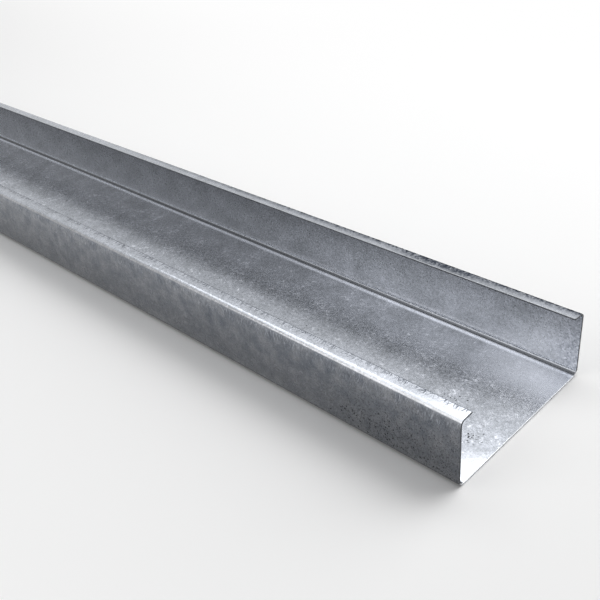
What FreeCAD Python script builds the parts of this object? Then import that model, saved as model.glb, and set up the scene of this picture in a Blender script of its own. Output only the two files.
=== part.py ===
"""A C purlin: a lipped channel, roll-formed from one strip of zinc-coated sheet steel.

The strip keeps one thickness all the way round. Four bends fold it into a web, two flanges and two lips
that turn in towards each other. Both ends are sheared square and the free edges of the lips are slit
square. It lies on the outside of its web with the open side up, as it is stacked in a yard.

Frame, in millimetres: the origin is the middle of the web's outside face, which is the face that it lies
on. X runs along the purlin, Y across the web and Z up out of the open side.
"""

import FreeCAD, Part

import math
import os

# Driving sizes, all measured over the outside of the sheet.
purlin_length = 3000.0
web_depth = 203.0
flange_width = 76.0
lip_depth = 16.5

# The strip and the tools that bend it. The bends at the web are a little larger than the bends at the lips.
sheet_thickness = 1.9
web_bend_inside_radius = 6.0
lip_bend_inside_radius = 4.5


def outside_corners():
    """Returns where the straight outside faces would meet, from one lip's slit edge round to the other."""
    side = web_depth / 2
    return [
        (-side + lip_depth, flange_width),
        (-side, flange_width),
        (-side, 0.0),
        (side, 0.0),
        (side, flange_width),
        (side - lip_depth, flange_width),
    ]


def inside_corners():
    """Returns the same corners on the inside of the sheet, one thickness in from the outside faces."""
    side = web_depth / 2
    inner_side = side - sheet_thickness
    under_lip = flange_width - sheet_thickness
    return [
        (-side + lip_depth, under_lip),
        (-inner_side, under_lip),
        (-inner_side, sheet_thickness),
        (inner_side, sheet_thickness),
        (inner_side, under_lip),
        (side - lip_depth, under_lip),
    ]


def in_section(point, x):
    """Places a (y, z) point of the cross-section at x along the purlin."""
    y, z = point
    return FreeCAD.Vector(x, y, z)


def folded_edges(corners, bend_radii, x):
    """Follows one face of the folded sheet through the section at x.

    Straight runs join the corners, and a tangent arc replaces each corner that has a bend.
    """
    points = [in_section(corner, x) for corner in corners]
    edges = []
    run_start = points[0]
    for before, corner, after, radius in zip(points, points[1:], points[2:], bend_radii):
        incoming = (corner - before).normalize()
        outgoing = (after - corner).normalize()
        turn = incoming.getAngle(outgoing)
        tangent = radius * math.tan(turn / 2)
        bend_start = corner - incoming * tangent
        bend_end = corner + outgoing * tangent
        to_centre = (outgoing - incoming).normalize()
        centre = corner + to_centre * (radius / math.cos(turn / 2))
        bend_middle = centre - to_centre * radius
        edges.append(Part.LineSegment(run_start, bend_start).toShape())
        edges.append(Part.Arc(bend_start, bend_middle, bend_end).toShape())
        run_start = bend_end
    edges.append(Part.LineSegment(run_start, points[-1]).toShape())
    return edges


def sheet_section(x):
    """Makes the face of the whole cross-section: the folded strip between its two slit edges."""
    inside_radii = [
        lip_bend_inside_radius,
        web_bend_inside_radius,
        web_bend_inside_radius,
        lip_bend_inside_radius,
    ]
    outside_radii = [radius + sheet_thickness for radius in inside_radii]
    outside = outside_corners()
    inside = inside_corners()
    slit_edges = [
        Part.LineSegment(in_section(outside[end], x), in_section(inside[end], x)).toShape()
        for end in (0, -1)
    ]
    edges = folded_edges(outside, outside_radii, x) + folded_edges(inside, inside_radii, x) + slit_edges
    return Part.Face(Part.Wire(Part.__sortEdges__(edges)))


def c_purlin():
    """Makes the purlin: its section, carried straight from one sheared end to the other."""
    section = sheet_section(-purlin_length / 2)
    return section.extrude(FreeCAD.Vector(purlin_length, 0, 0))


def main():
    """Writes the one piece of the purlin."""
    os.makedirs("parts", exist_ok=True)
    c_purlin().exportStep("parts/c_purlin.step")


main()
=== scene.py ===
"""A galvanised C purlin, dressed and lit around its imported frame.

The purlin is one strip of zinc-coated sheet steel, folded into a web, two flanges and two lips. It lies on
its web with the open side up. X runs along it, Y across it and Z up, and the origin is the middle of the
web's outside face. All lengths are in metres.
"""

import logging
import math
from dataclasses import dataclass, field
from enum import Enum

import bmesh
import bpy
from mathutils import Matrix, Vector, noise


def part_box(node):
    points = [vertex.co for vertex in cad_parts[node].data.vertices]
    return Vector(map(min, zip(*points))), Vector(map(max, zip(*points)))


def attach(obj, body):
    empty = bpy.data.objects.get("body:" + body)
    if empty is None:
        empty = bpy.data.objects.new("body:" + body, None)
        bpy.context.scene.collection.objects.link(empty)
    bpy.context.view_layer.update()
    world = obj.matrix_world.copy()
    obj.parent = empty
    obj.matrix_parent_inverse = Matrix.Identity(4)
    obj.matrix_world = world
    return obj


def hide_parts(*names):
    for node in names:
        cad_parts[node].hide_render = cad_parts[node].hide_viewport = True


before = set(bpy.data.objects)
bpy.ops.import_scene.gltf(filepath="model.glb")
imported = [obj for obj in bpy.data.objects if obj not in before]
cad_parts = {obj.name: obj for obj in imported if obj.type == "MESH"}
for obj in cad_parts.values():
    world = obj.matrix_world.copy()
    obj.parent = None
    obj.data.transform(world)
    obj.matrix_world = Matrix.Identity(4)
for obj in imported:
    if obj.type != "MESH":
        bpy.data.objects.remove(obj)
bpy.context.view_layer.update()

MM = 0.001
WHITE = "#ffffff"
LOG = logging.getLogger("purlin")


def linear_colour(hex_colour: str) -> tuple[float, float, float, float]:
    """Turns an sRGB hex colour into the linear colour that shaders take.

    Args:
        hex_colour: Six hex digits with a leading hash, such as "#a9aeb5".

    Returns:
        Red, green, blue and an alpha of 1.
    """
    channels = [int(hex_colour[start:start + 2], 16) / 255 for start in (1, 3, 5)]
    toe, slope, offset, power = 0.04045, 12.92, 0.055, 2.4
    red, green, blue = (
        value / slope if value <= toe else ((value + offset) / (1 + offset)) ** power for value in channels
    )
    return red, green, blue, 1.0


def add_node(
    tree: bpy.types.NodeTree,
    kind: str,
    values: dict | None = None,
    links: dict | None = None,
    **settings: object,
) -> bpy.types.Node:
    """Adds a node to a tree, with its settings, its constant inputs and its links.

    Args:
        tree: The tree that gets the node.
        kind: The node's class, such as "ShaderNodeTexNoise".
        values: Constants, by the input's name or number.
        links: Output sockets of other nodes, by the input's name or number.
        settings: The node's own properties, such as operation="ADD".

    Returns:
        The new node.
    """
    node = tree.nodes.new(kind)
    for name, value in settings.items():
        setattr(node, name, value)
    for key, value in (values or {}).items():
        node.inputs[key].default_value = value
    for key, socket in (links or {}).items():
        tree.links.new(socket, node.inputs[key])
    return node


def direct_rays(tree: bpy.types.NodeTree) -> bpy.types.NodeSocket:
    """Marks the rays that show the background itself: from the camera, mirrored by metal or through glass.

    Args:
        tree: The tree of the world or of a backdrop's material.

    Returns:
        1 for such a ray and 0 for one that only carries light.
    """
    path = add_node(tree, "ShaderNodeLightPath")
    direct = path.outputs["Is Camera Ray"]
    for kind in ("Is Glossy Ray", "Is Transmission Ray"):
        direct = add_node(
            tree, "ShaderNodeMath", links={0: direct, 1: path.outputs[kind]}, operation="MAXIMUM"
        ).outputs[0]
    return direct


class Fold(Enum):
    """Which pair of bends a fold line belongs to."""

    WEB = "web"
    LIP = "lip"


@dataclass(frozen=True)
class StripSizes:
    """Sizes of the folded strip, over the outside of the sheet.

    The overall sizes come from the frame. The rest are the maker's own.
    """

    length: float
    web_depth: float
    flange_width: float
    lip_depth: float = 16.5 * MM
    sheet_thickness: float = 1.9 * MM
    web_bend_inside_radius: float = 6.0 * MM
    lip_bend_inside_radius: float = 4.5 * MM

    @classmethod
    def from_frame(cls, node: str) -> "StripSizes":
        """Reads the overall sizes from the purlin's node of the frame."""
        low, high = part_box(node)
        return cls(length=high.x - low.x, web_depth=high.y - low.y, flange_width=high.z - low.z)

    def outside_radius(self, fold: Fold) -> float:
        """Gives the radius of the sheet's outside face in a pair of bends."""
        inside = {Fold.WEB: self.web_bend_inside_radius, Fold.LIP: self.lip_bend_inside_radius}
        return inside[fold] + self.sheet_thickness

    def corners(self) -> list[tuple[float, float]]:
        """Gives where the outside faces would meet.

        Returns:
            The corners as (y, z), from one slit edge round to the other.
        """
        side = self.web_depth / 2
        top = self.flange_width
        return [
            (-side + self.lip_depth, top),
            (-side, top),
            (-side, 0.0),
            (side, 0.0),
            (side, top),
            (side - self.lip_depth, top),
        ]

    def web_spot(self, from_end: float, across: float) -> Vector:
        """Gives a place on the web's inside face, back from the shown end and from its middle towards +Y."""
        return Vector((self.length / 2 - from_end, across, self.sheet_thickness))

    def near_flange_spot(self, from_end: float, height: float) -> Vector:
        """Gives a place on the outside of the -Y flange, back from the shown end and up from the ground."""
        return Vector((self.length / 2 - from_end, -self.web_depth / 2, height))

    def lip_spot(self, side: int, from_end: float, from_side: float) -> Vector:
        """Gives a place on the top of the +Y lip, or of the other one where the side is -1."""
        across = side * (self.web_depth / 2 - from_side)
        return Vector((self.length / 2 - from_end, across, self.flange_width))


@dataclass(frozen=True)
class Patch:
    """A soft-edged oval on the sheet, such as a cluster of pits.

    Attributes:
        centre: Its middle.
        reach: How far it goes along X, Y and Z.
    """

    centre: Vector
    reach: Vector


@dataclass(frozen=True)
class SheetPlace:
    """Where on the sheet a finish is being worked out, with the soft masks that depend on that alone.

    Attributes:
        tree: The finish's tree.
        place: The object's own coordinates.
        across: Distance from the purlin's middle plane, towards +Y.
        aside: Distance from the middle plane to either side.
        height: Height over the web's outside face.
    """

    tree: bpy.types.NodeTree
    place: bpy.types.NodeSocket
    across: bpy.types.NodeSocket
    aside: bpy.types.NodeSocket
    height: bpy.types.NodeSocket

    @classmethod
    def in_tree(cls, tree: bpy.types.NodeTree) -> "SheetPlace":
        """Adds the nodes that tell the place.

        Args:
            tree: The finish's tree.

        Returns:
            The place.
        """
        place = add_node(tree, "ShaderNodeTexCoord").outputs["Object"]
        axes = add_node(tree, "ShaderNodeSeparateXYZ", links={"Vector": place})
        across = axes.outputs["Y"]
        aside = add_node(tree, "ShaderNodeMath", links={0: across}, operation="ABSOLUTE").outputs[0]
        return cls(tree, place, across, aside, axes.outputs["Z"])

    def hatching(
        self, width: float, length: float, turns: tuple[tuple[float, float, float], ...]
    ) -> bpy.types.NodeSocket:
        """Draws short strokes square to the purlin's length, in one or more slants.

        Args:
            width: Width of a stroke.
            length: Length of a stroke.
            turns: The slant of each set of strokes, as angles about X, Y and Z.

        Returns:
            The strokes, as a soft value that is well over 0.5 on them.
        """
        highest = None
        for turn in turns:
            turned = add_node(
                self.tree,
                "ShaderNodeMapping",
                {"Rotation": turn, "Scale": (width, length, length)},
                {"Vector": self.place},
                vector_type="TEXTURE",
            )
            marks = add_node(
                self.tree, "ShaderNodeTexNoise", {"Scale": 1.0, "Detail": 1.0}, {"Vector": turned.outputs[0]}
            ).outputs["Fac"]
            if highest is None:
                highest = marks
            else:
                highest = add_node(
                    self.tree, "ShaderNodeMath", links={0: highest, 1: marks}, operation="MAXIMUM"
                ).outputs[0]
        return highest

    def region(self, *limits: tuple[bpy.types.NodeSocket, float, float]) -> bpy.types.NodeSocket:
        """Marks the region where several values have all come within their limits.

        Args:
            limits: Each value with where its soft rim starts and where it is fully inside.

        Returns:
            The region: 1 inside, 0 outside and a soft rim between.
        """
        inside = None
        for value, rim, full in limits:
            faded = add_node(
                self.tree,
                "ShaderNodeMapRange",
                {"From Min": rim, "From Max": full},
                {"Value": value},
                interpolation_type="SMOOTHSTEP",
            ).outputs["Result"]
            if inside is None:
                inside = faded
            else:
                inside = add_node(
                    self.tree, "ShaderNodeMath", links={0: inside, 1: faded}, operation="MULTIPLY"
                ).outputs[0]
        return inside

    def closeness(
        self, patches: tuple[Patch, ...], place: bpy.types.NodeSocket | None = None
    ) -> bpy.types.NodeSocket:
        """Gives how close a point is to the nearest patch: 1 in its middle and 0 from its rim on.

        Args:
            patches: The patches, at least one.
            place: Shaken coordinates, where the patches have ragged rims.

        Returns:
            The closeness.
        """
        nearest = None
        for patch in patches:
            away = place or self.place
            for operand, operation in ((patch.centre, "SUBTRACT"), (patch.reach, "DIVIDE")):
                away = add_node(
                    self.tree, "ShaderNodeVectorMath", {1: operand}, {0: away}, operation=operation
                ).outputs[0]
            away = add_node(
                self.tree, "ShaderNodeVectorMath", links={0: away}, operation="LENGTH"
            ).outputs["Value"]
            if nearest is None:
                nearest = away
            else:
                nearest = add_node(
                    self.tree, "ShaderNodeMath", links={0: nearest, 1: away}, operation="MINIMUM"
                ).outputs[0]
        close = add_node(
            self.tree, "ShaderNodeMath", {0: 1.0}, {1: nearest}, operation="SUBTRACT", use_clamp=True
        )
        return close.outputs[0]


@dataclass(frozen=True)
class GalvanisedSteel:
    """Hot-dip galvanised sheet: zinc that froze in small crystals, then went through the rolls.

    Each crystal, or spangle, leans its own way and is a little rougher or smoother than its neighbours, so
    the sheet mirrors its surroundings in a soft, mottled way, and a few crystals glint. Slow clouds come
    from the dip, short strokes across the strip from the rolls and a comb of dark strokes from the slitter.
    Pits are bare of shiny zinc. Tarnishes dull the zinc, most of all at a glancing angle, and are partly a
    painted dark reflection. Highlights and shade are painted on the folds, the flanges and the shown end.
    """

    sizes: StripSizes
    pits: tuple[Patch, ...]
    # Patches of dulled zinc, partly a painted dark reflection.
    tarnish_and_reflection_patches: tuple[Patch, ...]
    # Patches where a highlight is painted on the zinc.
    highlight_patches: tuple[Patch, ...]
    scuffed: tuple[Patch, ...]
    name: str = "hot_dip_galvanised_steel"
    bright_zinc: str = "#b3b7bf"
    dull_zinc: str = "#95999f"
    # Pale zinc for the real frost wisps and for the painted highlights.
    frost_and_highlight_zinc: str = "#e9edf5"
    # Darker zinc for the painted shade on the flanges' outside.
    flange_shade_zinc: str = "#6b7078"
    # Warmer, darker cast painted on the flanges, for the colour of their light.
    painted_flange_cast: str = "#f4f0eb"
    # Painted shade on the flanges' inside just above the folds.
    fold_shade_tint: str = "#e9e9e9"
    # Dulled zinc, partly a painted dark reflection, and the comb marks' colour.
    tarnish_and_reflection_zinc: str = "#585c64"
    # Tint of the dulled zinc's reflection at a glancing angle, part of the painted dark reflection.
    tarnish_and_reflection_glance: str = "#1c1d20"
    # Dark zinc for the real scuffs and for the painted shade in the folds.
    scuff_and_fold_shade_zinc: str = "#4c4e52"
    pit: str = "#3a3c3f"
    roughness: float = 0.22
    roughness_spread: float = 0.08
    pit_roughness: float = 0.55
    spangle_width: float = 1.9 * MM
    spangle_lean: float = 0.009
    glint_lean: float = 0.08
    grain_width: float = 0.9 * MM
    roll_relief: float = 0.04 * MM
    cloud_width: float = 30.0 * MM
    frost_width: float = 5.0 * MM
    blotch_width: float = 14.0 * MM
    stroke_width: float = 1.2 * MM
    stroke_length: float = 9.0 * MM
    stroke_slant: float = math.radians(12.0)
    rub_width: float = 0.9 * MM
    pit_spacing: float = 2.3 * MM
    scuff_width: float = 1.0 * MM
    scuff_length: float = 2.4 * MM
    scuff_slant: float = math.radians(30.0)
    comb_width: float = 0.8 * MM
    comb_length: float = 9.0 * MM
    # Width of the painted highlight on the web beside each fold.
    fold_highlight_width: float = 5.0 * MM

    def make(self) -> bpy.types.Material:
        """Makes the material.

        Returns:
            The material.
        """
        # Hot-dip galvanised and skin-passed: a grey metal with soft, slightly mottled mirror images.
        material = bpy.data.materials.new(self.name)
        material.use_nodes = True
        tree = material.node_tree
        shader = tree.nodes["Principled BSDF"]
        shader.inputs["Metallic"].default_value = 1.0
        at = SheetPlace.in_tree(tree)

        # Skin-passed spangle is well under a millimetre wide, so it is drawn coarse enough to show.
        ragged = self.ragged_place(at)
        spangle = add_node(
            tree,
            "ShaderNodeTexVoronoi",
            {"Scale": 1 / self.spangle_width, "Smoothness": 0.5},
            {"Vector": ragged},
            feature="SMOOTH_F1",
        )
        cell = add_node(tree, "ShaderNodeSeparateColor", links={"Color": spangle.outputs["Color"]})
        cloud = add_node(
            tree,
            "ShaderNodeTexNoise",
            {"Scale": 1 / self.cloud_width, "Detail": 3.0, "Roughness": 0.6},
            {"Vector": at.place},
        )
        slants = ((0.0, self.stroke_slant, self.stroke_slant),)
        strokes = at.hatching(self.stroke_width, self.stroke_length, slants)
        pitted = self.pitting(at, ragged)
        tarnish_and_reflection = self.tarnish_and_dark_reflection(at, cell.outputs[1])

        facing = self.leaning_normal(tree, spangle.outputs["Color"], cell.outputs[2])
        # The rolls' own grain is finer than a tenth of a millimetre, so it is drawn coarse enough to show.
        grain = add_node(
            tree, "ShaderNodeTexNoise", {"Scale": 1 / self.grain_width, "Detail": 1.0}, {"Vector": at.place}
        )
        for relief, strength in ((strokes, 0.25), (grain.outputs["Fac"], 0.2)):
            facing = add_node(
                tree,
                "ShaderNodeBump",
                {"Strength": strength, "Distance": self.roll_relief},
                {"Height": relief, "Normal": facing},
            ).outputs[0]
        tree.links.new(facing, shader.inputs["Normal"])

        shade = add_node(
            tree,
            "ShaderNodeMath",
            {1: 0.5},
            {0: cell.outputs[0], 2: cloud.outputs["Fac"]},
            operation="MULTIPLY_ADD",
        )
        brightness = add_node(
            tree, "ShaderNodeMapRange", {"From Min": 0.4, "From Max": 1.1}, {"Value": shade.outputs[0]}
        )
        colour = add_node(
            tree,
            "ShaderNodeMix",
            {"A": linear_colour(self.dull_zinc), "B": linear_colour(self.bright_zinc)},
            {"Factor": brightness.outputs[0]},
            data_type="RGBA",
        ).outputs["Result"]
        # Painted light and shade: a warmer, darker cast over the flanges' whole thickness, and painted shade
        # on the strip of their inside face just above the folds.
        face = self.sizes.web_depth / 2
        on_flange = at.region((at.aside, face - 3.5 * MM, face - 2.4 * MM))
        above_fold = at.region(
            (at.aside, face - 2.8 * MM, face - 2.2 * MM),
            (at.aside, face - 1.2 * MM, face - 1.6 * MM),
            (at.height, 14.0 * MM, 8.5 * MM),
            (at.height, 5.6 * MM, 6.8 * MM),
        )
        for amount, hex_colour, blend in (
            (on_flange, self.painted_flange_cast, "MULTIPLY"),
            (above_fold, self.fold_shade_tint, "MULTIPLY"),
            (self.frost(at), self.frost_and_highlight_zinc, "MIX"),
            (at.closeness(self.highlight_patches), self.frost_and_highlight_zinc, "MIX"),
            (self.painted_flange_shade(at), self.flange_shade_zinc, "MIX"),
            (self.rub_marks_and_sheen(at), self.bright_zinc, "MIX"),
            (self.scuffs(at), self.scuff_and_fold_shade_zinc, "MIX"),
            (tarnish_and_reflection, self.tarnish_and_reflection_zinc, "MIX"),
            (self.comb_marks(at), self.tarnish_and_reflection_zinc, "MIX"),
            (self.painted_fold_highlights(at), self.frost_and_highlight_zinc, "MIX"),
            (self.painted_fold_shade(at), self.scuff_and_fold_shade_zinc, "MIX"),
            (pitted, self.pit, "MIX"),
        ):
            colour = add_node(
                tree,
                "ShaderNodeMix",
                {"B": linear_colour(hex_colour)},
                {"Factor": amount, "A": colour},
                data_type="RGBA",
                blend_type=blend,
            ).outputs["Result"]
        tree.links.new(colour, shader.inputs["Base Color"])
        glancing = add_node(
            tree,
            "ShaderNodeMix",
            {"A": linear_colour(WHITE), "B": linear_colour(self.tarnish_and_reflection_glance)},
            {"Factor": tarnish_and_reflection},
            data_type="RGBA",
        )
        tree.links.new(glancing.outputs["Result"], shader.inputs["Specular Tint"])

        rough = add_node(
            tree,
            "ShaderNodeMath",
            {1: self.roughness_spread, 2: self.roughness},
            {0: cell.outputs[1]},
            operation="MULTIPLY_ADD",
        )
        rough = add_node(
            tree,
            "ShaderNodeMix",
            {"B": self.pit_roughness},
            {"Factor": pitted, "A": rough.outputs[0]},
            data_type="FLOAT",
        )
        tree.links.new(rough.outputs["Result"], shader.inputs["Roughness"])
        return material

    def ragged_place(self, at: SheetPlace) -> bpy.types.NodeSocket:
        """Shakes the coordinates by about a spangle, which gives crystals and pits ragged outlines.

        Args:
            at: The place on the sheet.

        Returns:
            The shaken coordinates.
        """
        noise_cloud = add_node(
            at.tree,
            "ShaderNodeTexNoise",
            {"Scale": 1 / self.spangle_width, "Detail": 2.0},
            {"Vector": at.place},
        )
        shift = add_node(
            at.tree,
            "ShaderNodeVectorMath",
            {1: (0.5, 0.5, 0.5)},
            {0: noise_cloud.outputs["Color"]},
            operation="SUBTRACT",
        )
        shaken = add_node(
            at.tree,
            "ShaderNodeVectorMath",
            {1: (self.spangle_width,) * 3},
            {0: shift.outputs[0], 2: at.place},
            operation="MULTIPLY_ADD",
        )
        return shaken.outputs[0]

    def leaning_normal(
        self, tree: bpy.types.NodeTree, lean: bpy.types.NodeSocket, luck: bpy.types.NodeSocket
    ) -> bpy.types.NodeSocket:
        """Leans the surface by a different small angle on each crystal, and by much more on a few of them.

        Args:
            tree: The material's tree.
            lean: Each crystal's own random colour.
            luck: Each crystal's own random number, high on the few that glint.

        Returns:
            The leaning normal.
        """
        centred = add_node(
            tree, "ShaderNodeVectorMath", {1: (0.5, 0.5, 0.5)}, {0: lean}, operation="SUBTRACT"
        )
        rare = add_node(tree, "ShaderNodeMath", {1: 8.0}, {0: luck}, operation="POWER")
        amount = add_node(
            tree,
            "ShaderNodeMath",
            {1: self.glint_lean, 2: self.spangle_lean * 2},
            {0: rare.outputs[0]},
            operation="MULTIPLY_ADD",
        )
        tilt = add_node(
            tree,
            "ShaderNodeVectorMath",
            links={0: centred.outputs[0], "Scale": amount.outputs[0]},
            operation="SCALE",
        )
        upright = add_node(tree, "ShaderNodeNewGeometry").outputs["Normal"]
        leaning = add_node(
            tree, "ShaderNodeVectorMath", links={0: tilt.outputs[0], 1: upright}, operation="ADD"
        )
        facing = add_node(tree, "ShaderNodeVectorMath", links={0: leaning.outputs[0]}, operation="NORMALIZE")
        return facing.outputs[0]

    def pitting(self, at: SheetPlace, ragged: bpy.types.NodeSocket) -> bpy.types.NodeSocket:
        """Scatters small pits, close together in the middle of each cluster and sparse at its rim.

        Args:
            at: The place on the sheet.
            ragged: The shaken coordinates.

        Returns:
            The pits, 1 in a pit.
        """
        tree = at.tree
        spots = add_node(
            tree, "ShaderNodeTexVoronoi", {"Scale": 1 / self.pit_spacing}, {"Vector": ragged}
        )
        cell = add_node(tree, "ShaderNodeSeparateColor", links={"Color": spots.outputs["Color"]})
        crowd = at.region((at.closeness(self.pits, ragged), 0.0, 1.8))
        kept = add_node(tree, "ShaderNodeMath", links={0: cell.outputs[0], 1: crowd}, operation="LESS_THAN")
        return at.region(
            (spots.outputs["Distance"], 0.5, 0.3),
            (kept.outputs[0], 0.0, 1.0),
            (cell.outputs[1], -0.3, 0.5),
        )

    def tarnish_and_dark_reflection(self, at: SheetPlace, speckle: bpy.types.NodeSocket) -> bpy.types.NodeSocket:
        """Dulls the tarnishes, partly a painted dark reflection, speckled by crystals that took them more or
        less.

        Args:
            at: The place on the sheet.
            speckle: Each crystal's own random number.

        Returns:
            The tarnishes and painted dark reflection, from 0 to 1.
        """
        uneven = add_node(
            at.tree, "ShaderNodeMapRange", {"To Min": 0.3, "To Max": 2.3}, {"Value": speckle}
        )
        amount = add_node(
            at.tree,
            "ShaderNodeMath",
            links={0: at.closeness(self.tarnish_and_reflection_patches), 1: uneven.outputs[0]},
            operation="MULTIPLY",
            use_clamp=True,
        )
        return amount.outputs[0]

    def frost(self, at: SheetPlace) -> bpy.types.NodeSocket:
        """Draws the pale wisps that frost the web's inside here and there.

        Args:
            at: The place on the sheet.

        Returns:
            The frost, from 0 to 1.
        """
        wisps = add_node(
            at.tree,
            "ShaderNodeTexNoise",
            {"Scale": 1 / self.frost_width, "Detail": 4.0, "Roughness": 0.7, "Distortion": 0.5},
            {"Vector": at.place},
        )
        drifts = add_node(
            at.tree,
            "ShaderNodeTexNoise",
            {"Scale": 1 / self.cloud_width, "Detail": 2.0},
            {"Vector": at.place},
        )
        return at.region(
            (wisps.outputs["Fac"], 0.52, 0.75),
            (drifts.outputs["Fac"], 0.35, 0.6),
            (at.height, 4.0 * MM, 3.0 * MM),
        )

    def painted_flange_shade(self, at: SheetPlace) -> bpy.types.NodeSocket:
        """Paints shade on the outside of the flanges in blotches, lighter towards their feet.

        Args:
            at: The place on the sheet.

        Returns:
            The painted shade, from 0 to 1.
        """
        blotches = add_node(
            at.tree,
            "ShaderNodeTexNoise",
            {"Scale": 1 / self.blotch_width, "Detail": 4.0, "Roughness": 0.65},
            {"Vector": at.place},
        )
        uneven = add_node(
            at.tree,
            "ShaderNodeMapRange",
            {"From Min": 0.35, "From Max": 0.65, "To Min": 0.45, "To Max": 1.0},
            {"Value": blotches.outputs["Fac"]},
        )
        # The painted shade is lighter at the flanges' feet and full from about two thirds of their height.
        shade_by_height = add_node(
            at.tree,
            "ShaderNodeMapRange",
            {"From Max": self.sizes.flange_width * 0.7, "To Min": 0.45},
            {"Value": at.height},
        )
        face = self.sizes.web_depth / 2
        amount = at.region((at.aside, face - 1.7 * MM, face - 0.7 * MM))
        for share in (uneven, shade_by_height):
            amount = add_node(
                at.tree, "ShaderNodeMath", links={0: amount, 1: share.outputs[0]}, operation="MULTIPLY"
            ).outputs[0]
        return amount

    def rub_marks_and_sheen(self, at: SheetPlace) -> bpy.types.NodeSocket:
        """Lightens the flanges' outside in upright strokes near the top: rub marks and a painted sheen.

        Args:
            at: The place on the sheet.

        Returns:
            The strokes, from 0 to 1.
        """
        face, top = self.sizes.web_depth / 2, self.sizes.flange_width
        slants = ((0.0, self.scuff_slant * 0.6, 0.0), (0.0, -self.scuff_slant * 0.3, 0.0))
        return at.region(
            (at.hatching(self.rub_width, self.stroke_length, slants), 0.52, 0.85),
            (at.aside, face - 1.0 * MM, face - 0.4 * MM),
            (at.height, top - 24.0 * MM, top - 8.0 * MM),
        )

    def scuffs(self, at: SheetPlace) -> bpy.types.NodeSocket:
        """Scatters short dark scuffs, slanted both ways, over the outside of the flanges near their ends.

        Args:
            at: The place on the sheet.

        Returns:
            The scuffs, from 0 to 1.
        """
        face = self.sizes.web_depth / 2
        slants = ((0.0, self.scuff_slant, 0.0), (0.0, -self.scuff_slant, 0.0))
        return at.region(
            (at.hatching(self.scuff_width, self.scuff_length, slants), 0.6, 0.72),
            (at.closeness(self.scuffed), 0.0, 0.8),
            (at.aside, face - 1.6 * MM, face - 0.6 * MM),
        )

    def painted_fold_shade(self, at: SheetPlace) -> bpy.types.NodeSocket:
        """Paints shade in the folds beside the web, inside and on their outside next to the ground.

        Args:
            at: The place on the sheet.

        Returns:
            The painted shade, from 0 to 1.
        """
        face = self.sizes.web_depth / 2
        inside = at.region((at.aside, face - 7.8 * MM, face - 4.8 * MM), (at.height, 6.0 * MM, 3.9 * MM))
        outside = at.region((at.aside, face - 1.7 * MM, face - 0.9 * MM), (at.height, 7.0 * MM, 3.5 * MM))
        both = add_node(at.tree, "ShaderNodeMath", links={0: inside, 1: outside}, operation="MAXIMUM")
        return both.outputs[0]

    def painted_fold_highlights(self, at: SheetPlace) -> bpy.types.NodeSocket:
        """Paints highlights on both sides of the folds beside the web.

        Args:
            at: The place on the sheet.

        Returns:
            The painted highlights, from 0 to 1.
        """
        face = self.sizes.web_depth / 2
        fold = face - self.sizes.outside_radius(Fold.WEB)
        on_web = at.region(
            (at.aside, fold - self.fold_highlight_width, fold - 1.5 * MM), (at.height, 4.6 * MM, 3.6 * MM)
        )
        on_flange = at.region(
            (at.aside, face - 4.0 * MM, face - 3.0 * MM),
            (at.aside, face - 1.2 * MM, face - 1.6 * MM),
            (at.height, 7.6 * MM, 6.2 * MM),
        )
        both = add_node(at.tree, "ShaderNodeMath", links={0: on_web, 1: on_flange}, operation="MAXIMUM")
        return both.outputs[0]

    def comb_marks(self, at: SheetPlace) -> bpy.types.NodeSocket:
        """Draws a comb of short strokes, which the slitter left on the -Y lip, and a dark line along its
        slit edge.

        Args:
            at: The place on the sheet.

        Returns:
            The marks, from 0 to 1.
        """
        slants = ((0.0, 0.0, self.stroke_slant), (0.0, 0.0, -self.stroke_slant * 2))
        strokes = at.hatching(self.comb_width, self.comb_length, slants)
        slit, top = -self.sizes.web_depth / 2 + self.sizes.lip_depth, self.sizes.flange_width
        comb = at.region(
            (strokes, 0.55, 0.67), (at.across, slit - self.comb_length, slit - self.comb_length / 4)
        )
        line = at.region((at.across, slit - 1.1 * MM, slit - 0.4 * MM), (strokes, 0.0, 0.6))
        both = add_node(at.tree, "ShaderNodeMath", links={0: comb, 1: line}, operation="MAXIMUM")
        return at.region(
            (both.outputs[0], 0.0, 1.0),
            (at.across, slit + 2.0 * MM, slit + 1.0 * MM),
            (at.height, top - 3.0 * MM, top - 2.0 * MM),
        )


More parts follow.
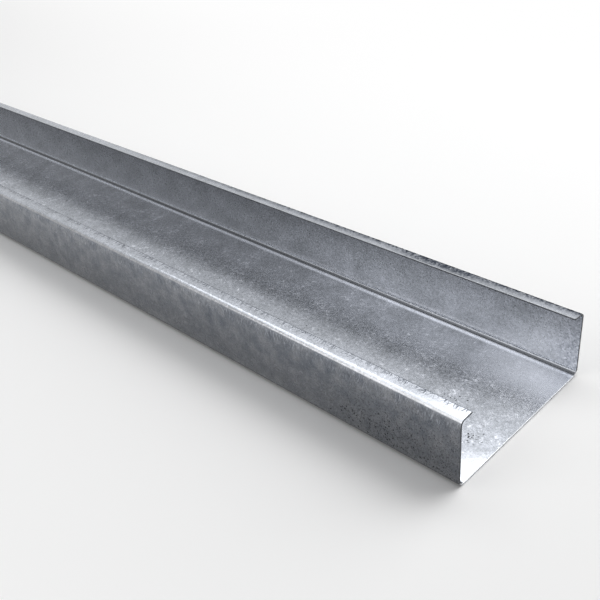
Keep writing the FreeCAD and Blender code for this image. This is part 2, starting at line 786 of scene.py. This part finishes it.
@dataclass(frozen=True)
class ShearedSteel:
    """The bare steel of a sheared or slit edge: grey, matt and scored by the blade.

    Highlights are painted on the web's end and on the top of the +Y lip's slit edge, and the ends above
    the web and the lower part of that slit edge stay dark.

    Attributes:
        end_highlight_height: How high the painted highlight on the ends reaches.
        end_from_middle: How far the ends are from the purlin's middle.
        slit_highlight_above: Height over the web's outside face where the painted highlight on the slit edge
            starts.
    """

    end_highlight_height: float
    end_from_middle: float
    slit_highlight_above: float
    name: str = "sheared_bare_steel"
    steel: str = "#5c5e62"
    score: str = "#36383b"
    # Painted highlight on the web's end.
    painted_end_highlight: str = "#c6c8cb"
    # Painted highlight on the top of the +Y lip's slit edge.
    slit: str = "#a2a4a7"
    roughness: float = 0.45
    score_width: float = 0.5 * MM

    def make(self) -> bpy.types.Material:
        """Makes the material.

        Returns:
            The material.
        """
        # Sheared by a blade: a dark, matt, finely scored edge, with highlights painted on the web's end and
        # the slit edge's top.
        material = bpy.data.materials.new(self.name)
        material.use_nodes = True
        tree = material.node_tree
        shader = tree.nodes["Principled BSDF"]
        shader.inputs["Metallic"].default_value = 1.0
        shader.inputs["Roughness"].default_value = self.roughness
        at = SheetPlace.in_tree(tree)
        # The blade's scores are about a tenth of a millimetre apart, so they are drawn coarser, to show.
        scores = add_node(
            tree, "ShaderNodeTexNoise", {"Scale": 1 / self.score_width, "Detail": 2.0}, {"Vector": at.place}
        )
        colour = add_node(
            tree,
            "ShaderNodeMix",
            {"A": linear_colour(self.score), "B": linear_colour(self.steel)},
            {"Factor": scores.outputs["Fac"]},
            data_type="RGBA",
        )
        # Where the highlight on the web's end is painted.
        low = add_node(
            tree,
            "ShaderNodeMapRange",
            {"From Min": self.end_highlight_height * 2, "From Max": self.end_highlight_height},
            {"Value": at.height},
        )
        along = add_node(tree, "ShaderNodeSeparateXYZ", links={"Vector": at.place}).outputs["X"]
        from_middle = add_node(tree, "ShaderNodeMath", links={0: along}, operation="ABSOLUTE")
        # Where the highlight on the top of the +Y slit edge is painted.
        slit_highlight_mask = add_node(
            tree,
            "ShaderNodeMath",
            {1: self.end_from_middle},
            {0: from_middle.outputs[0]},
            operation="LESS_THAN",
        )
        for value, limit in ((at.across, 0.0), (at.height, self.slit_highlight_above)):
            beyond = add_node(tree, "ShaderNodeMath", {1: limit}, {0: value}, operation="GREATER_THAN")
            slit_highlight_mask = add_node(
                tree,
                "ShaderNodeMath",
                links={0: slit_highlight_mask.outputs[0], 1: beyond.outputs[0]},
                operation="MULTIPLY",
            )
        for amount, hex_colour in ((low, self.painted_end_highlight), (slit_highlight_mask, self.slit)):
            colour = add_node(
                tree,
                "ShaderNodeMix",
                {"B": linear_colour(hex_colour)},
                {"Factor": amount.outputs[0], "A": colour.outputs["Result"]},
                data_type="RGBA",
            )
        tree.links.new(colour.outputs["Result"], shader.inputs["Base Color"])
        return material


@dataclass(frozen=True)
class StudioPaper:
    """Matt white background paper that fades into the white of the room, away from the purlin.

    Attributes:
        half_length: Half the purlin's length.
        faded: Distance from the purlin where only the room's white shows.
    """

    half_length: float
    name: str = "white_background_paper"
    paper: str = "#f4f4f4"
    roughness: float = 0.9
    faded: float = 1.2

    def make(self) -> bpy.types.Material:
        """Makes the material.

        Returns:
            The material.
        """
        # Uncoated paper: matt and even, with no gloss at all.
        material = bpy.data.materials.new(self.name)
        material.use_nodes = True
        tree = material.node_tree
        shader = tree.nodes["Principled BSDF"]
        shader.inputs["Base Color"].default_value = linear_colour(self.paper)
        shader.inputs["Roughness"].default_value = self.roughness
        shader.inputs["Specular IOR Level"].default_value = 0.0

        place = add_node(tree, "ShaderNodeTexCoord").outputs["Object"]
        for operation, operand in (
            ("ABSOLUTE", (0.0, 0.0, 0.0)),
            ("SUBTRACT", (self.half_length, 0.0, 0.0)),
            ("MAXIMUM", (0.0, 0.0, 0.0)),
        ):
            place = add_node(
                tree, "ShaderNodeVectorMath", {1: operand}, {0: place}, operation=operation
            ).outputs[0]
        away = add_node(tree, "ShaderNodeVectorMath", links={0: place}, operation="LENGTH")
        share = add_node(
            tree,
            "ShaderNodeMapRange",
            {"From Max": self.faded},
            {"Value": away.outputs["Value"]},
            interpolation_type="SMOOTHSTEP",
        )
        shown = add_node(
            tree,
            "ShaderNodeMath",
            links={0: share.outputs["Result"], 1: direct_rays(tree)},
            operation="MULTIPLY",
        )
        white = add_node(tree, "ShaderNodeEmission", {"Color": linear_colour(WHITE), "Strength": 1.0})
        both = add_node(
            tree,
            "ShaderNodeMixShader",
            links={0: shown.outputs[0], 1: shader.outputs[0], 2: white.outputs[0]},
        )
        tree.links.new(both.outputs[0], tree.nodes["Material Output"].inputs["Surface"])
        return material


@dataclass
class FoldedSheet:
    """The purlin's one piece: the strip, folded, sheared and slit.

    Attributes:
        sizes: The strip's sizes.
        name: The piece's name.
        bend_segments: Facets in each quarter bend.
        lip_strips: Strips that each lip's flat is cut into.
        station_step: Spacing of the cuts along the purlin.
        flat_step: Spacing of the cuts across the flats.
        bow_height: How far the flats stand in from true at most.
        bow_length: How long the waves in the flats are.
        lip_spring: How far the lips spring back from square, so that they lean up towards their slit edges.
        edge_round: Rounding that the blade leaves on the cut edges.
        bend_margin: How far the first cut across a flat is from its bend.
        sharp_angle: An edge that turns by more than this stays crisp.
        mesh: The strip while it is being folded.
    """

    sizes: StripSizes
    name: str = "folded_sheet"
    bend_segments: int = 12
    lip_strips: int = 4
    station_step: float = 30.0 * MM
    flat_step: float = 14.0 * MM
    bow_height: float = 0.35 * MM
    bow_length: float = 300.0 * MM
    lip_spring: float = math.radians(2.5)
    edge_round: float = 0.3 * MM
    bend_margin: float = 1.0 * MM
    sharp_angle: float = math.radians(20.0)
    mesh: bmesh.types.BMesh = field(default_factory=bmesh.new)

    def cut(self, point: Vector, normal: Vector) -> None:
        """Cuts the whole mesh along the plane through a point, square to a normal."""
        geometry = [*self.mesh.verts, *self.mesh.edges, *self.mesh.faces]
        bmesh.ops.bisect_plane(self.mesh, geom=geometry, dist=1e-7, plane_co=point, plane_no=normal)

    def lay_out(self) -> None:
        """Draws the sharp outline of the section at one end and draws it out along the purlin."""
        start = -self.sizes.length / 2
        points = [self.mesh.verts.new((start, y, z)) for y, z in self.sizes.corners()]
        for first, second in zip(points, points[1:]):
            self.mesh.edges.new((first, second))
        drawn = bmesh.ops.extrude_edge_only(self.mesh, edges=list(self.mesh.edges))
        moved = [item for item in drawn["geom"] if isinstance(item, bmesh.types.BMVert)]
        bmesh.ops.translate(self.mesh, verts=moved, vec=(self.sizes.length, 0.0, 0.0))
        bmesh.ops.recalc_face_normals(self.mesh, faces=list(self.mesh.faces))

    def bend(self) -> None:
        """Rounds the four fold lines with the radii of the rolls."""
        middle = self.sizes.flange_width / 2
        for fold in Fold:
            lines = [
                edge
                for edge in self.mesh.edges
                if len(edge.link_faces) == 2
                and edge.calc_face_angle() > self.sharp_angle
                and (edge.verts[0].co.z < middle) == (fold is Fold.WEB)
            ]
            bmesh.ops.bevel(
                self.mesh,
                geom=lines,
                offset=self.sizes.outside_radius(fold),
                offset_type="OFFSET",
                segments=self.bend_segments,
                profile=0.5,
                affect="EDGES",
                material=-1,
            )

    def flat_cuts(self, low: float, high: float) -> list[float]:
        """Spaces cuts over a flat, with one close to each end, which keeps the bends' shading off the flat.

        Args:
            low: Where the flat starts.
            high: Where it ends.

        Returns:
            The places of the cuts.
        """
        count = max(1, round((high - low) / self.flat_step))
        even = [low + (high - low) * index / count for index in range(1, count)]
        return [low + self.bend_margin, *even, high - self.bend_margin]

    def divide(self) -> None:
        """Cuts the flats into narrow strips and the whole length into stations."""
        sizes = self.sizes
        web_half = sizes.web_depth / 2 - sizes.outside_radius(Fold.WEB)
        for place in self.flat_cuts(-web_half, web_half):
            self.cut(Vector((0, place, 0)), Vector((0, 1, 0)))
        low = sizes.outside_radius(Fold.WEB)
        high = sizes.flange_width - sizes.outside_radius(Fold.LIP)
        for place in self.flat_cuts(low, high):
            self.cut(Vector((0, 0, place)), Vector((0, 0, 1)))
        for side in (-1, 1):
            for index in range(1, self.lip_strips):
                place = side * (self.lip_start() - self.lip_flat() * index / self.lip_strips)
                self.cut(Vector((0, place, 0)), Vector((0, 1, 0)))
        stations = round(sizes.length / self.station_step)
        for index in range(1, stations):
            place = -sizes.length / 2 + sizes.length * index / stations
            self.cut(Vector((place, 0, 0)), Vector((1, 0, 0)))

    def lip_start(self) -> float:
        """Gives how far from the middle the lips' flats start."""
        return self.sizes.web_depth / 2 - self.sizes.outside_radius(Fold.LIP)

    def lip_flat(self) -> float:
        """Gives how wide the lips' flats are."""
        return self.sizes.lip_depth - self.sizes.outside_radius(Fold.LIP)

    def spring_lips(self) -> None:
        """Leans the lips up towards their slit edges, by letting their bends down and keeping the edges."""
        middle = self.sizes.flange_width / 2
        drop = self.lip_flat() * math.tan(self.lip_spring)
        for vert in self.mesh.verts:
            if vert.co.z > middle:
                along = (self.lip_start() - abs(vert.co.y)) / self.lip_flat()
                up = (vert.co.z - middle) / middle
                vert.co.z -= drop * up * (1.0 - max(0.0, along))

    def bow(self) -> None:
        """Moves the sheet in by a fraction of a millimetre, in long waves, as rolled sheet really stands."""
        self.mesh.normal_update()
        moves = [
            (vert, vert.normal * (self.bow_height * (0.5 + 0.5 * noise.noise(vert.co / self.bow_length))))
            for vert in self.mesh.verts
        ]
        for vert, move in moves:
            vert.co -= move

    def thicken(self) -> None:
        """Gives the sheet its thickness, inwards from its outside face."""
        bmesh.ops.solidify(self.mesh, geom=list(self.mesh.faces), thickness=self.sizes.sheet_thickness)

    def finish_cut_edges(self) -> None:
        """Finds the sheared ends and the slit edges, eases their corners and gives them the bare steel."""
        self.mesh.normal_update()
        cut_faces = [face for face in self.mesh.faces if self.is_cut(face)]
        for face in cut_faces:
            face.material_index = 1
        found = set(cut_faces)
        corners = {
            edge
            for face in cut_faces
            for edge in face.edges
            if any(other not in found for other in edge.link_faces)
        }
        bmesh.ops.bevel(
            self.mesh,
            geom=list(corners),
            offset=self.edge_round,
            offset_type="OFFSET",
            segments=2,
            profile=0.5,
            affect="EDGES",
            material=1,
        )

    def is_cut(self, face: bmesh.types.BMFace) -> bool:
        """Tells a sheared end or a slit lip edge from the rolled faces.

        Args:
            face: A face of the folded sheet.

        Returns:
            True for a face that the blade made.
        """
        square = 0.9
        if abs(face.normal.x) > square:
            return True
        slit = self.sizes.web_depth / 2 - self.sizes.lip_depth
        centre = face.calc_center_median()
        at_slit = abs(abs(centre.y) - slit) < self.sizes.sheet_thickness / 2
        at_lip = centre.z > self.sizes.flange_width - 2 * self.sizes.sheet_thickness
        return at_slit and at_lip and abs(face.normal.y) > square

    def shade(self) -> None:
        """Shades the sheet smooth, with its cut edges crisp."""
        self.mesh.normal_update()
        for face in self.mesh.faces:
            face.smooth = True
        for edge in self.mesh.edges:
            edge.smooth = edge.calc_face_angle(0.0) < self.sharp_angle

    def build(self, zinc: bpy.types.Material, cut_steel: bpy.types.Material) -> bpy.types.Object:
        """Makes the piece.

        Args:
            zinc: The finish of the rolled faces.
            cut_steel: The finish of the sheared ends and slit edges.

        Returns:
            The folded sheet.
        """
        self.lay_out()
        self.bend()
        self.divide()
        self.spring_lips()
        self.bow()
        self.thicken()
        self.finish_cut_edges()
        self.shade()
        data = bpy.data.meshes.new(self.name)
        self.mesh.to_mesh(data)
        self.mesh.free()
        data.materials.append(zinc)
        data.materials.append(cut_steel)
        piece = bpy.data.objects.new(self.name, data)
        bpy.context.scene.collection.objects.link(piece)
        return piece


@dataclass(frozen=True)
class Standpoint:
    """Where a lamp or the camera stands, as seen from what it points at.

    Azimuth 0 is on the -Y side and 90 on the +X side. Elevation is above the horizon. Both are in degrees.
    """

    azimuth: float
    elevation: float
    distance: float

    def outward(self) -> Vector:
        """Gives the direction from the target to here."""
        turn, rise = math.radians(self.azimuth), math.radians(self.elevation)
        return Vector((math.sin(turn) * math.cos(rise), -math.cos(turn) * math.cos(rise), math.sin(rise)))

    def place(self, thing: bpy.types.Object, target: Vector, roll: float = 0.0) -> None:
        """Stands an object here, facing the target.

        Args:
            thing: The lamp or camera.
            target: The point that it faces.
            roll: Degrees that it is turned about its own line of sight.
        """
        outward = self.outward()
        thing.rotation_mode = "QUATERNION"
        turned = Matrix.Rotation(math.radians(roll), 3, "Z").to_quaternion()
        thing.rotation_quaternion = (-outward).to_track_quat("-Z", "Y") @ turned
        thing.location = target + outward * self.distance


@dataclass(frozen=True)
class Softbox:
    """A lamp behind a diffuser. At a radiance of 1 its face shows as white paper."""

    name: str
    stand: Standpoint
    width: float
    height: float
    radiance: float

    def build(self, target: Vector) -> None:
        """Makes the lamp.

        Args:
            target: The point that it lights.
        """
        lamp = bpy.data.lights.new(self.name, "AREA")
        lamp.shape = "RECTANGLE"
        lamp.size, lamp.size_y = self.width, self.height
        lamp.energy = self.radiance * math.pi * self.width * self.height
        holder = bpy.data.objects.new(self.name, lamp)
        bpy.context.scene.collection.objects.link(holder)
        holder.visible_camera = False
        self.stand.place(holder, target)


@dataclass(frozen=True)
class Studio:
    """White paper on the ground, soft lamps and the camera.

    Attributes:
        target: The middle of the shown end, which the lamps face.
        near_corner: The end's bottom corner nearest to the camera, from which the camera's place is given.
    """

    target: Vector
    near_corner: Vector
    paper_width: float = 60.0
    ambient: float = 0.15
    softboxes: tuple[Softbox, ...] = (
        Softbox("back_softbox", Standpoint(212.0, 59.0, 3.2), 4.7, 1.42, 2.3),
        Softbox("side_softbox", Standpoint(166.0, 42.0, 3.2), 2.7, 3.7, 2.4),
        Softbox("front_softbox", Standpoint(329.0, 36.0, 3.2), 1.75, 1.6, 1.85),
        Softbox("top_softbox", Standpoint(296.0, 60.0, 3.2), 1.4, 1.6, 1.4),
    )
    camera_stand: Standpoint = Standpoint(46.695, 32.542, 0.0)
    camera_roll: float = -5.391
    camera_offset: Vector = field(default_factory=lambda: Vector((294.88, -443.98, 538.65)) * MM)
    camera_lens_mm: float = 50.708

    def lay_paper(self) -> None:
        """Lays the paper under the purlin."""
        mesh = bmesh.new()
        bmesh.ops.create_grid(mesh, x_segments=1, y_segments=1, size=self.paper_width / 2)
        data = bpy.data.meshes.new("ground_paper")
        mesh.to_mesh(data)
        mesh.free()
        data.materials.append(StudioPaper(self.target.x).make())
        paper = bpy.data.objects.new("ground_paper", data)
        bpy.context.scene.collection.objects.link(paper)

    def light_room(self) -> None:
        """Gives the room a white look to the camera and in reflections, and a softer ambient light."""
        world = bpy.data.worlds.new("white_room")
        world.use_nodes = True
        bpy.context.scene.world = world
        tree = world.node_tree
        ambient = tree.nodes["Background"]
        ambient.inputs["Color"].default_value = linear_colour(WHITE)
        ambient.inputs["Strength"].default_value = self.ambient
        white = add_node(tree, "ShaderNodeBackground", {"Color": linear_colour(WHITE), "Strength": 1.0})
        both = add_node(
            tree,
            "ShaderNodeMixShader",
            links={0: direct_rays(tree), 1: ambient.outputs[0], 2: white.outputs[0]},
        )
        tree.links.new(both.outputs[0], tree.nodes["World Output"].inputs["Surface"])

    def set_camera(self) -> None:
        """Stands the camera where the photograph was taken from."""
        lens = bpy.data.cameras.new("camera")
        lens.lens = self.camera_lens_mm
        camera = bpy.data.objects.new("camera", lens)
        bpy.context.scene.collection.objects.link(camera)
        self.camera_stand.place(camera, self.near_corner + self.camera_offset, self.camera_roll)
        bpy.context.scene.camera = camera

    def build(self) -> None:
        """Sets the whole studio up."""
        self.lay_paper()
        self.light_room()
        for softbox in self.softboxes:
            softbox.build(self.target)
            LOG.info("%s: radiance %.2f", softbox.name, softbox.radiance)
        self.set_camera()
        bpy.context.scene.view_settings.view_transform = "Standard"


def main() -> None:
    """Builds the purlin, the ground that it lies on, the lights and the camera."""
    logging.basicConfig(level=logging.INFO, format="%(name)s: %(message)s")
    sizes = StripSizes.from_frame("c_purlin")
    end_x = sizes.length / 2
    # Clusters of pits on the web and low on the -Y flange.
    pits = (
        Patch(sizes.web_spot(77 * MM, -6 * MM), Vector((34, 11, 1.5)) * MM),
        Patch(sizes.web_spot(28 * MM, -42 * MM), Vector((22, 14, 1.5)) * MM),
        Patch(sizes.web_spot(262 * MM, -2 * MM), Vector((18, 6, 1.5)) * MM),
        Patch(sizes.near_flange_spot(92 * MM, 20 * MM), Vector((64, 2.5, 30)) * MM),
        Patch(sizes.near_flange_spot(28 * MM, 8 * MM), Vector((50, 2.5, 14)) * MM),
    )
    # Scuffs all over the -Y flange's shown end.
    scuffed = (Patch(sizes.near_flange_spot(50 * MM, 30 * MM), Vector((170, 20, 60)) * MM),)
    # Tarnishes along the +Y lip's bend, partly a painted dark reflection, deepest a hand's breadth in, and
    # up the +Y flange's end.
    tarnish_and_reflection_patches = (
        Patch(sizes.lip_spot(1, 0.0, 1 * MM), Vector((900, 13, 12)) * MM),
        Patch(sizes.lip_spot(1, 160 * MM, 4 * MM), Vector((95, 16, 12)) * MM),
        Patch(Vector((end_x + 40 * MM, sizes.web_depth / 2 + 4 * MM, 20 * MM)), Vector((95, 12, 90)) * MM),
    )
    # Painted highlights at the shown end, in the web's two corners and on the -Y lip.
    highlight_patches = (
        Patch(sizes.web_spot(-10 * MM, 75 * MM), Vector((115, 80, 4)) * MM),
        Patch(sizes.web_spot(-5 * MM, -95 * MM), Vector((50, 50, 4)) * MM),
        Patch(sizes.lip_spot(-1, -50 * MM, 11 * MM), Vector((100, 14, 6)) * MM),
    )
    zinc = GalvanisedSteel(sizes, pits, tarnish_and_reflection_patches, highlight_patches, scuffed)
    cut_steel = ShearedSteel(
        end_highlight_height=sizes.sheet_thickness * 1.5,
        end_from_middle=sizes.length / 2 - sizes.sheet_thickness / 2,
        slit_highlight_above=sizes.flange_width - sizes.sheet_thickness * 0.6,
    )
    sheet = FoldedSheet(sizes).build(zinc.make(), cut_steel.make())
    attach(sheet, "root")
    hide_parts("c_purlin")
    LOG.info("%s: %d faces", sheet.name, len(sheet.data.polygons))

    shown_end = Vector((end_x, 0.0, sizes.flange_width / 2))
    Studio(shown_end, Vector((end_x, -sizes.web_depth / 2, 0.0))).build()


if __name__ == "__main__":
    main()
